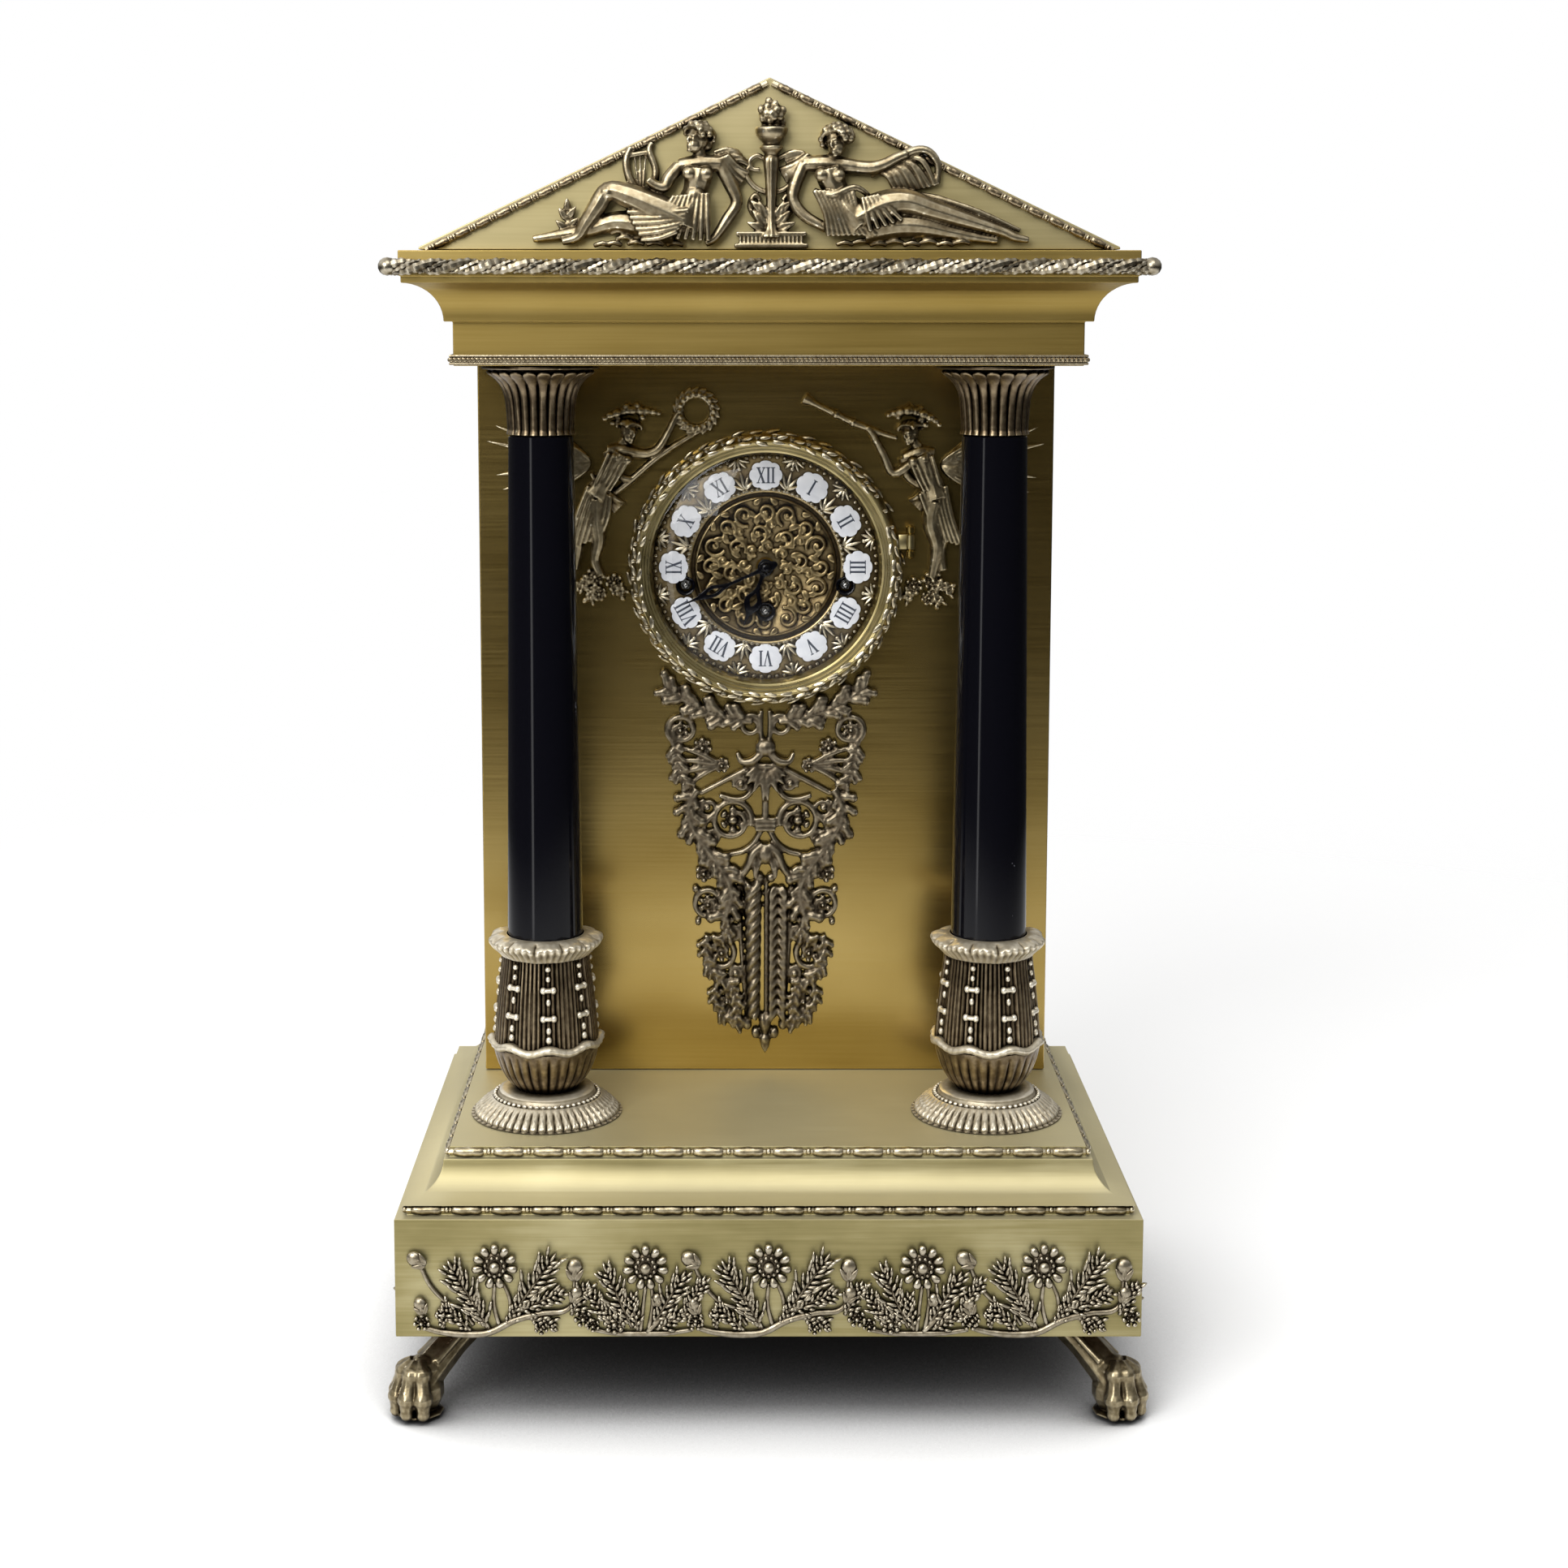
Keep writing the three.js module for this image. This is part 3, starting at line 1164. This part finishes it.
function chapterRing() {
  const shape = outline(ringPoints(centrePlace, CHAPTER_OUTER, 28));
  roundHole(shape, centrePlace, CHAPTER_INNER, 28);
  const ring = plate(shape, CHAPTER_FRONT, CHAPTER_FRONT + CHAPTER_THICKNESS);
  const plaques = [];
  for (let hour = 0; hour < 12; hour++) {
    const place = polar(centrePlace, PLAQUE_CIRCLE, 30 * hour);
    const y1 = CHAPTER_FRONT + CHAPTER_THICKNESS / 2;
    plaques.push(barAcross(PLAQUE_RADIUS, CHAPTER_FRONT - PLAQUE_THICKNESS, y1, 6, place));
  }
  return cut(join([ring, ...plaques]), windingHoles(-DIAL_BACK, DIAL_BACK));
}

piece(dialGroup, "dial_plate", dialPlate(), castBrass);
piece(dialGroup, "chapter_ring", chapterRing(), whiteEnamel);

// A hand points up, with a boss at its foot and a pierced belly, and is then turned to its time.
function hand(length, width, bore, back) {
  const boss = bore + 1.6;
  const shape = outline([
    [-boss * 0.5, boss * 0.8],
    [-width * 0.25, length * 0.3],
    [-width * 0.5, length * 0.45],
    [-width * 0.2, length * 0.62],
    [-width * 0.3, length * 0.7],
    [0, length],
    [width * 0.3, length * 0.7],
    [width * 0.2, length * 0.62],
    [width * 0.5, length * 0.45],
    [width * 0.25, length * 0.3],
    [boss * 0.5, boss * 0.8],
  ]);
  roundHole(shape, [0, length * 0.46], width * 0.2, 6);
  const blade = plate(shape, back - HAND_THICKNESS, back);
  const disk = barAcross(boss, back - HAND_THICKNESS, back, 12);
  return blade.add(disk).subtract(barAcross(bore, back - 2 * HAND_THICKNESS, back + HAND_THICKNESS, 12));
}

const hourTurn = (2 * Math.PI * (HOUR_SHOWN + MINUTE_SHOWN / 60)) / 12;
const minuteTurn = (2 * Math.PI * MINUTE_SHOWN) / 60;
const hourHand = hand(HOUR_HAND_LENGTH, 9, PIPE_RADIUS + FIT, HOUR_HAND_BACK);
const minuteHand = hand(MINUTE_HAND_LENGTH, 7, ARBOR_RADIUS + FIT, MINUTE_HAND_BACK);
piece(dialGroup, "hour_hand", hourHand, blackLacquer).rotation.y = hourTurn;
piece(dialGroup, "minute_hand", minuteHand, blackLacquer).rotation.y = minuteTurn;

// Movement: two plates on pillars with the going train, the motion work and three barrels

const INNER_FRONT = FRONT_PLATE + PLATE_THICKNESS; // inner faces of the plates
const BACK_FACE = BACK_PLATE + PLATE_THICKNESS;
const PLATE_CENTRE_DROP = 2;
const PLATE_TOP = PLATE_HEIGHT / 2 - PLATE_CENTRE_DROP;
const PLATE_FOOT = -PLATE_HEIGHT / 2 - PLATE_CENTRE_DROP;
const GREAT_THICKNESS = 2;
const WHEEL_LAP = 0.2; // great wheel let into the barrel's end
const CENTRE_WHEEL_AT = INNER_FRONT + 1.4;
const SIDE_WHEEL_AT = CENTRE_WHEEL_AT + WHEEL_THICKNESS + 1;
const BARREL_AT = SIDE_WHEEL_AT + GREAT_THICKNESS;
const GOING_WHEEL_AT = BARREL_AT + BARREL_LENGTH;
const INTERMEDIATE_AT = BACK_PLATE - 1.6 - WHEEL_THICKNESS;
const THIRD_AT = INNER_FRONT + PLATE_GAP * 0.42;
const ESCAPE_AT = INNER_FRONT + PLATE_GAP * 0.7;
const PALLET_PLACE = polar(escapePlace, ESCAPE_RADIUS * 1.5, 165);
const BALANCE_PLACE = polar(PALLET_PLACE, ESCAPE_RADIUS * 1.1, 200);
const HAMMER_PLACE = [-PLATE_WIDTH / 2 + 14, PLATE_FOOT + 7];
const HOUR_WHEEL_AT = DIAL_BACK + 1.3;
const MINUTE_WHEEL_AT = HOUR_WHEEL_AT + WHEEL_THICKNESS + 1.2;
const STUD_RADIUS = 0.9;
const PIVOT_HOLE = PIVOT_RADIUS + RUNNING;

const ADDENDUM = 0.75; // in modules
const DEDENDUM = 1.25;

// Outline of a toothed wheel or pinion with a tooth's tip at the given angle.
function toothed([x, z], teeth, module, tipAngle) {
  const pitchRadius = (teeth * module) / 2;
  const points = [];
  for (let i = 0; i < teeth * 2; i++) {
    const angle = tipAngle + (Math.PI * i) / teeth;
    const r = pitchRadius + (i % 2 ? -DEDENDUM : ADDENDUM) * module;
    points.push([x + r * Math.cos(angle), z + r * Math.sin(angle)]);
  }
  return outline(points);
}

// A meshing pair: a tooth of the wheel stands in a gap of the pinion on the line of centres.
function meshing(train, wheelPlace, pinionPlace) {
  const angle = Math.atan2(pinionPlace[1] - wheelPlace[1], pinionPlace[0] - wheelPlace[0]);
  const gap = angle + Math.PI + Math.PI / train.pinion;
  return {
    wheel: () => toothed(wheelPlace, train.wheel, train.module, angle),
    pinion: () => toothed(pinionPlace, train.pinion, train.module, gap),
  };
}

const going = meshing(GOING_TRAIN, goingPlace, intermediatePlace);
const intermediate = meshing(INTERMEDIATE_TRAIN, intermediatePlace, centrePlace);
const centre = meshing(CENTRE_TRAIN, centrePlace, thirdPlace);
const third = meshing(THIRD_TRAIN, thirdPlace, escapePlace);
const cannon = meshing(CANNON_TRAIN, minuteWheelPlace, centrePlace);
const hour = meshing(HOUR_TRAIN, centrePlace, minuteWheelPlace);

// An arbor with thin pivots that run in both plates.
function arbor([x, z], radius = ARBOR_RADIUS, pivot = PIVOT_RADIUS) {
  const profile = [
    [0, FRONT_PLATE],
    [pivot, FRONT_PLATE],
    [pivot, INNER_FRONT + FIT],
    [radius, INNER_FRONT + FIT],
    [radius, BACK_PLATE - FIT],
    [pivot, BACK_PLATE - FIT],
    [pivot, BACK_FACE],
    [0, BACK_FACE],
  ];
  const points = profile.map(([r, y]) => new THREE.Vector2(r, y));
  return solid(new THREE.LatheGeometry(points, 8).translate(x, 0, z));
}

const wheelAt = (shape, y, thickness = WHEEL_THICKNESS) => plate(shape, y, y + thickness);
const pinionAt = (shape, y, thickness = WHEEL_THICKNESS) => plate(shape, y - 0.5, y + thickness + 0.5);

function plateOutline() {
  const w = PLATE_WIDTH / 2;
  return outline([[-w, PLATE_FOOT], [w, PLATE_FOOT], [w, PLATE_TOP], [-w, PLATE_TOP]]);
}

const PILLAR_INSET = 4.5;
const pillarX = PLATE_WIDTH / 2 - PILLAR_INSET;
const pillarPlaces = [
  [-pillarX, PLATE_TOP - PILLAR_INSET],
  [pillarX, PLATE_TOP - PILLAR_INSET],
  [pillarX, PLATE_FOOT + PILLAR_INSET],
  [-pillarX, PLATE_FOOT + 5 * PILLAR_INSET],
];
const trainPivots = [intermediatePlace, thirdPlace, escapePlace, PALLET_PLACE, HAMMER_PLACE];

function frontPlate() {
  const shape = plateOutline();
  roundHole(shape, centrePlace, PIPE_BORE, 8);
  for (const place of windingPlaces) roundHole(shape, place, WINDING_RADIUS + RUNNING, 6);
  for (const place of trainPivots) roundHole(shape, place, PIVOT_HOLE, 6);
  const pillars = pillarPlaces.map((place) =>
    barAcross(PILLAR_RADIUS, FRONT_PLATE, BACK_PLATE - FIT, 6, place),
  );
  const feet = [-1, 1].flatMap((sx) =>
    [PLATE_TOP - PILLAR_INSET, PLATE_FOOT + PILLAR_INSET].map((z) =>
      barAcross(PILLAR_RADIUS, SHEET + FIT, INNER_FRONT, 6, [sx * pillarX, z]),
    ),
  );
  const stud = barAcross(STUD_RADIUS, DIAL_BACK + HAND_GAP, INNER_FRONT, 6, minuteWheelPlace);
  return join([plate(shape, FRONT_PLATE, INNER_FRONT), ...pillars, ...feet, stud]);
}

function backPlate() {
  const shape = plateOutline();
  for (const place of windingPlaces) roundHole(shape, place, WINDING_RADIUS + RUNNING, 6);
  for (const place of [centrePlace, ...trainPivots]) roundHole(shape, place, PIVOT_HOLE, 6);
  return plate(shape, BACK_PLATE, BACK_FACE);
}

piece(dialGroup, "movement_front_plate", frontPlate(), movementBrass);
piece(dialGroup, "movement_back_plate", backPlate(), movementBrass);

// A mainspring barrel with its great wheel at one end.
function barrel([x, z], wheel, wheelDepth) {
  const bore = WINDING_RADIUS + RUNNING;
  const profile = [
    [bore, BARREL_AT],
    [DRUM_WALL_RADIUS, BARREL_AT],
    [DRUM_WALL_RADIUS, GOING_WHEEL_AT],
    [bore, GOING_WHEEL_AT],
    [bore, BARREL_AT],
  ].map(([r, y]) => new THREE.Vector2(r, y));
  const drum = solid(new THREE.LatheGeometry(profile, 12).translate(x, 0, z));
  const hole = barAcross(bore, wheelDepth - 1, wheelDepth + GREAT_THICKNESS + 1, 12, [x, z]);
  return drum.add(wheelAt(wheel, wheelDepth, GREAT_THICKNESS).subtract(hole));
}

// A winding arbor carries its barrel and ends in a square behind the dial's hole.
function windingArbor([x, z]) {
  const r = WINDING_RADIUS;
  const square = WINDING_SQUARE / 2;
  const shank = barAcross(r, DIAL_BACK + HAND_GAP, BACK_FACE, 8, [x, z]);
  const end = box([x - square, CHAPTER_FRONT + HAND_GAP, z - square], [x + square, FRONT_PLATE, z + square]);
  return shank.add(end);
}

const goingBarrel = barrel(goingPlace, going.wheel(), GOING_WHEEL_AT - WHEEL_LAP);
piece(dialGroup, "going_barrel", goingBarrel, movementBrass);
for (const [name, place] of [["strike_barrel", strikePlace], ["chime_barrel", chimePlace]]) {
  const wheel = toothed(place, GOING_TRAIN.wheel, GOING_TRAIN.module, 0);
  piece(dialGroup, name, barrel(place, wheel, SIDE_WHEEL_AT + WHEEL_LAP), movementBrass);
}
piece(dialGroup, "going_winding_arbor", windingArbor(goingPlace), steel);
piece(dialGroup, "strike_winding_arbor", windingArbor(strikePlace), steel);
piece(dialGroup, "chime_winding_arbor", windingArbor(chimePlace), steel);

const intermediateWheel = join([
  arbor(intermediatePlace),
  pinionAt(going.pinion(), GOING_WHEEL_AT - WHEEL_LAP, GREAT_THICKNESS),
  wheelAt(intermediate.wheel(), INTERMEDIATE_AT),
]);
piece(dialGroup, "intermediate_wheel", intermediateWheel, movementBrass);

// The centre arbor runs forward through the hour pipe to the minute hand.
function centreWheel() {
  const shank = barAcross(ARBOR_RADIUS, MINUTE_HAND_BACK - HAND_THICKNESS - HAND_GAP, BACK_PLATE - FIT, 8);
  const pivot = barAcross(PIVOT_RADIUS, BACK_PLATE - 2, BACK_FACE, 8);
  return join([
    shank,
    pivot,
    wheelAt(centre.wheel(), CENTRE_WHEEL_AT),
    pinionAt(intermediate.pinion(), INTERMEDIATE_AT),
    pinionAt(cannon.pinion(), MINUTE_WHEEL_AT),
  ]);
}

piece(dialGroup, "centre_wheel", centreWheel(), movementBrass);

const thirdWheel = join([
  arbor(thirdPlace),
  pinionAt(centre.pinion(), CENTRE_WHEEL_AT),
  wheelAt(third.wheel(), THIRD_AT),
]);
piece(dialGroup, "third_wheel", thirdWheel, movementBrass);

// The escape wheel's teeth lean forward.
function escapeWheel() {
  const points = [];
  for (let i = 0; i < ESCAPE_TEETH; i++) {
    const angle = (2 * Math.PI * i) / ESCAPE_TEETH;
    const lean = (1.4 * Math.PI) / ESCAPE_TEETH;
    points.push(polar(escapePlace, ESCAPE_RADIUS, THREE.MathUtils.radToDeg(angle)));
    points.push(polar(escapePlace, ESCAPE_RADIUS * 0.82, THREE.MathUtils.radToDeg(angle + lean)));
  }
  return join([
    arbor(escapePlace),
    pinionAt(third.pinion(), THIRD_AT),
    wheelAt(outline(points), ESCAPE_AT, ESCAPE_THICKNESS),
  ]);
}

piece(dialGroup, "escape_wheel", escapeWheel(), movementBrass);

// Motion work: the minute wheel on its stud and the hour wheel with the pipe of the hour hand
function minuteWheel() {
  const bore = barAcross(STUD_RADIUS + RUNNING, 0, FRONT_PLATE, 12, minuteWheelPlace);
  const wheel = wheelAt(cannon.wheel(), MINUTE_WHEEL_AT);
  const pinion = plate(hour.pinion(), HOUR_WHEEL_AT - 0.4, MINUTE_WHEEL_AT + WHEEL_THICKNESS / 2);
  return wheel.add(pinion).subtract(bore);
}

function hourWheel() {
  const pipe = barAcross(PIPE_RADIUS, HOUR_HAND_BACK - HAND_THICKNESS, HOUR_WHEEL_AT + WHEEL_THICKNESS, 12);
  const bore = barAcross(PIPE_BORE, -FRONT_PLATE, FRONT_PLATE, 12);
  return wheelAt(hour.wheel(), HOUR_WHEEL_AT).add(pipe).subtract(bore);
}

piece(dialGroup, "minute_wheel", minuteWheel(), movementBrass);
piece(dialGroup, "hour_wheel", hourWheel(), movementBrass);

// Escapement: a pallet lever that rocks beside the escape wheel, and a balance under a bridge
function palletLever() {
  const reach = ESCAPE_RADIUS + 2 * FIT;
  const lift = -ESCAPE_AT - ESCAPE_THICKNESS / 2;
  const sweep = barAcross(reach, INNER_FRONT, BACK_PLATE, 24, escapePlace);
  const arms = [130, 200].map((degrees) => {
    const tip = polar(escapePlace, reach + 0.8, degrees);
    return limb(PALLET_PLACE, tip, 0.9, 0.8, lift).subtract(sweep);
  });
  const forkTip = polar(PALLET_PLACE, ESCAPE_RADIUS * 0.7, 200);
  const fork = limb(PALLET_PLACE, forkTip, 0.9, 0.7, lift);
  return join([...arms, fork, arbor(PALLET_PLACE, 0.9, 0.6)]);
}

const BALANCE_RADIUS = 9.5;
const BALANCE_AT = BACK_FACE + 4;
const BRIDGE_AT = BALANCE_AT + 4;
const BRIDGE_THICKNESS = 2;
const BRIDGE_POST = 2;

function balanceWheel() {
  const rim = outline(ringPoints(BALANCE_PLACE, BALANCE_RADIUS, 24));
  roundHole(rim, BALANCE_PLACE, BALANCE_RADIUS - 2, 20);
  const [x, z] = BALANCE_PLACE;
  const reach = BALANCE_RADIUS - 1;
  const spoke = box([x - reach, BALANCE_AT, z - 0.8], [x + reach, BALANCE_AT + WHEEL_THICKNESS, z + 0.8]);
  const staff = barAcross(PIVOT_RADIUS, BACK_FACE + FIT, BRIDGE_AT + BRIDGE_THICKNESS, 8, BALANCE_PLACE);
  return join([wheelAt(rim, BALANCE_AT), spoke, staff]);
}

function balanceBridge() {
  const [x, z] = BALANCE_PLACE;
  const span = BALANCE_RADIUS + BRIDGE_POST + 1;
  const bar = box(
    [x - span - BRIDGE_POST, BRIDGE_AT, z - 2 * BRIDGE_POST],
    [x + span + BRIDGE_POST, BRIDGE_AT + BRIDGE_THICKNESS, z + 2 * BRIDGE_POST],
  );
  const posts = [-span, span].map((dx) =>
    barAcross(BRIDGE_POST, BACK_FACE + FIT, BRIDGE_AT + BRIDGE_THICKNESS / 2, 8, [x + dx, z]),
  );
  return cut(join([bar, ...posts]), [barAcross(PIVOT_HOLE, BRIDGE_AT - 1, BRIDGE_AT + 9, 8, BALANCE_PLACE)]);
}

piece(dialGroup, "pallet_lever", palletLever(), steel);
piece(dialGroup, "balance_wheel", balanceWheel(), movementBrass);
piece(dialGroup, "balance_bridge", balanceBridge(), movementBrass);

// Chime: tuned rods in a block on the case's wall, and a bank of hammers above them

const CHIME_RODS = 5;
const ROD_PITCH = 5.5;
const CHIME_ROD_RADIUS = 1.3;
const CHIME_ROD_LENGTH = 150;
const CHIME_DROP = 60; // rods below the dial's centre
const HAMMER_REACH = 40;
const HAMMER_GAP = 2; // between a hammer at rest and its rod
const HAMMER_RADIUS = 2.4;
const BLOCK_LENGTH = 12;

const rodDepths = Array.from({ length: CHIME_RODS }, (_, i) => INNER_FRONT + 6 + ROD_PITCH * i);

function chimeBlock() {
  const wall = -CASE_WIDTH / 2 + SHEET + FIT;
  const block = box(
    [wall, rodDepths[0] - ROD_PITCH, -CHIME_DROP - ROD_PITCH],
    [wall + BLOCK_LENGTH, rodDepths.at(-1) + ROD_PITCH, -CHIME_DROP + ROD_PITCH],
  );
  const rods = rodDepths.map((depth) => {
    const r = CHIME_ROD_RADIUS;
    const length = CHIME_ROD_LENGTH + BLOCK_LENGTH / 2;
    const geometry = new THREE.CylinderGeometry(r, r, length, 6).rotateZ(Math.PI / 2);
    return solid(geometry.translate(wall + BLOCK_LENGTH / 2 + length / 2, depth, -CHIME_DROP));
  });
  return join([block, ...rods]);
}

function hammerBank() {
  const [x, z] = HAMMER_PLACE;
  const foot = -CHIME_DROP + CHIME_ROD_RADIUS + HAMMER_GAP;
  const hammers = rodDepths.flatMap((depth) => {
    const r = HAMMER_RADIUS;
    const top = z + r;
    const head = new THREE.CylinderGeometry(r, r, top - foot, 6).rotateX(Math.PI / 2);
    const half = r / 3;
    return [
      box([x - HAMMER_REACH, depth - half, z - half], [x, depth + half, z + half]),
      solid(head.translate(x - HAMMER_REACH, depth, (top + foot) / 2)),
    ];
  });
  return join([arbor(HAMMER_PLACE), ...hammers]);
}

piece(dialGroup, "chime_block", chimeBlock(), ironGrey);
piece(dialGroup, "hammer_bank", hammerBank(), steel);

export default clock;
